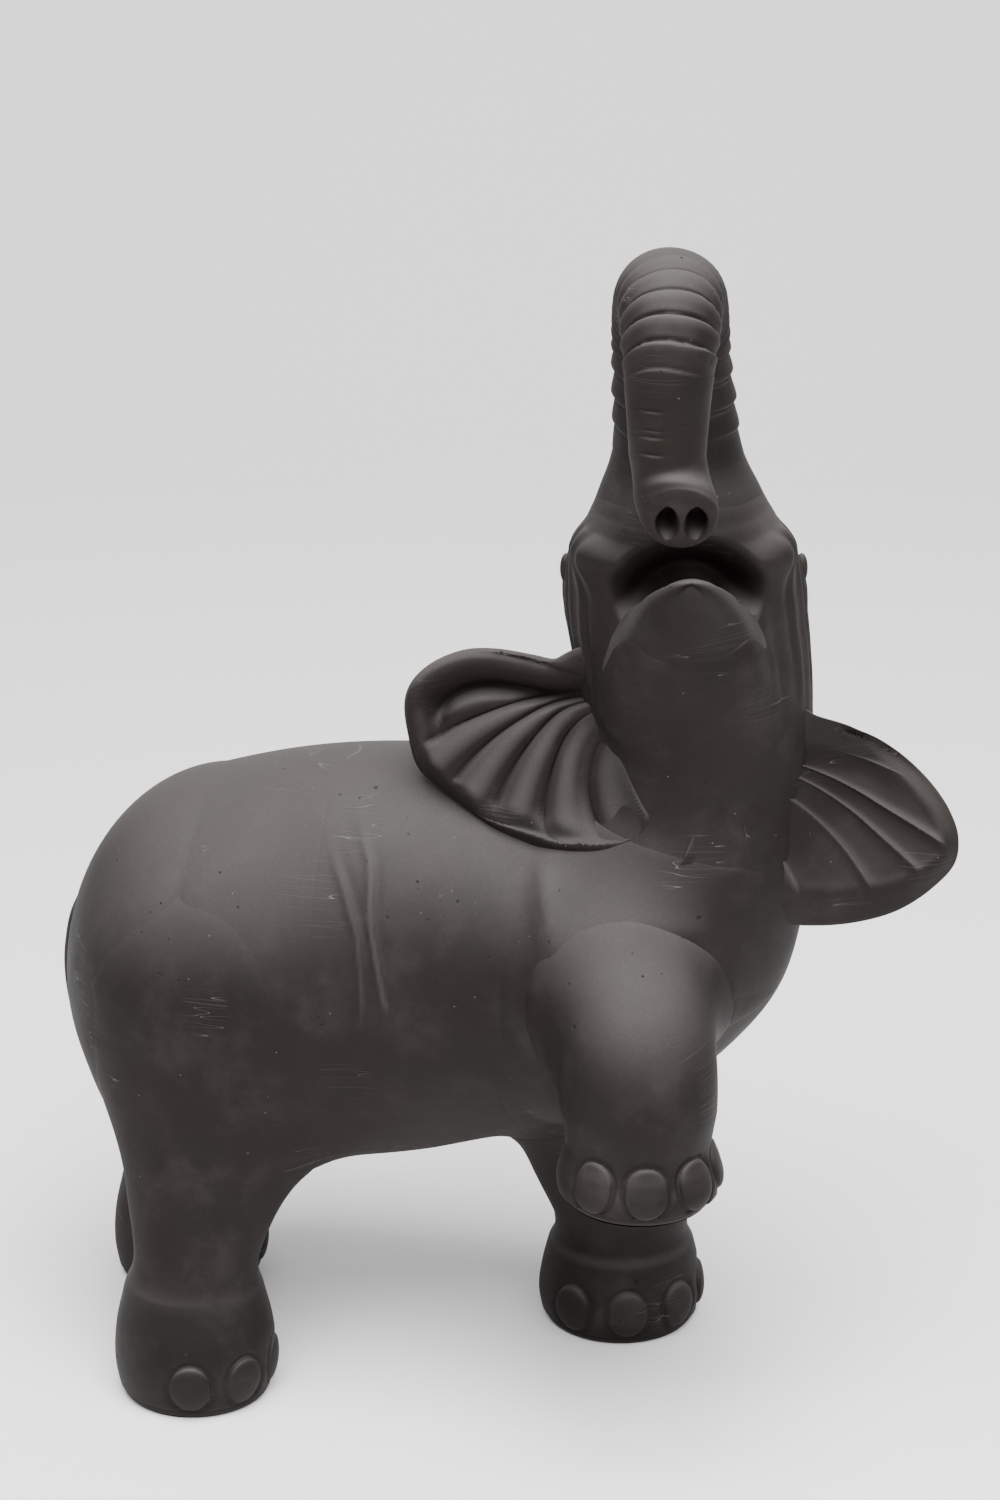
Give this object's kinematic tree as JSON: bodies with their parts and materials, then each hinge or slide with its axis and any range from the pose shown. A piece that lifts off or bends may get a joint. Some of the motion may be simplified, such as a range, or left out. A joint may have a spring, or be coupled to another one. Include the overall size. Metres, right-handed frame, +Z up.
{
  "type": "elephant figurine",
  "caption": "Free-standing fired-clay elephant with one forefoot raised, head thrown back and trunk curled up over its open mouth.",
  "frame": {"origin": "middle of the footprint box, on the surface that it stands on", "axes": "+Z up; the face, mouth and raised forefoot look along -Y; the tail lies towards -X"},
  "size_m": [0.4417, 0.2876, 0.5864],
  "materials": {
    "clay": "matte, unglazed fired clay, charcoal grey with a warm brown cast, dusty on upward faces"
  },
  "bodies": {
    "root": {"barrel_shell": "clay", "eyes": "clay", "head_and_neck": "clay", "hindquarters_shell": "clay", "left_ear": "clay", "left_fore_nails": "clay", "left_foreleg": "clay", "left_hind_leg": "clay", "left_hind_nails": "clay", "lower_jaw": "clay", "right_ear": "clay", "right_fore_nails": "clay", "right_foreleg": "clay", "right_hind_leg": "clay", "right_hind_nails": "clay", "shoulder_shell": "clay", "tail": "clay", "trunk_arch": "clay", "trunk_riser": "clay", "trunk_tip": "clay"}
  },
  "joints": []
}
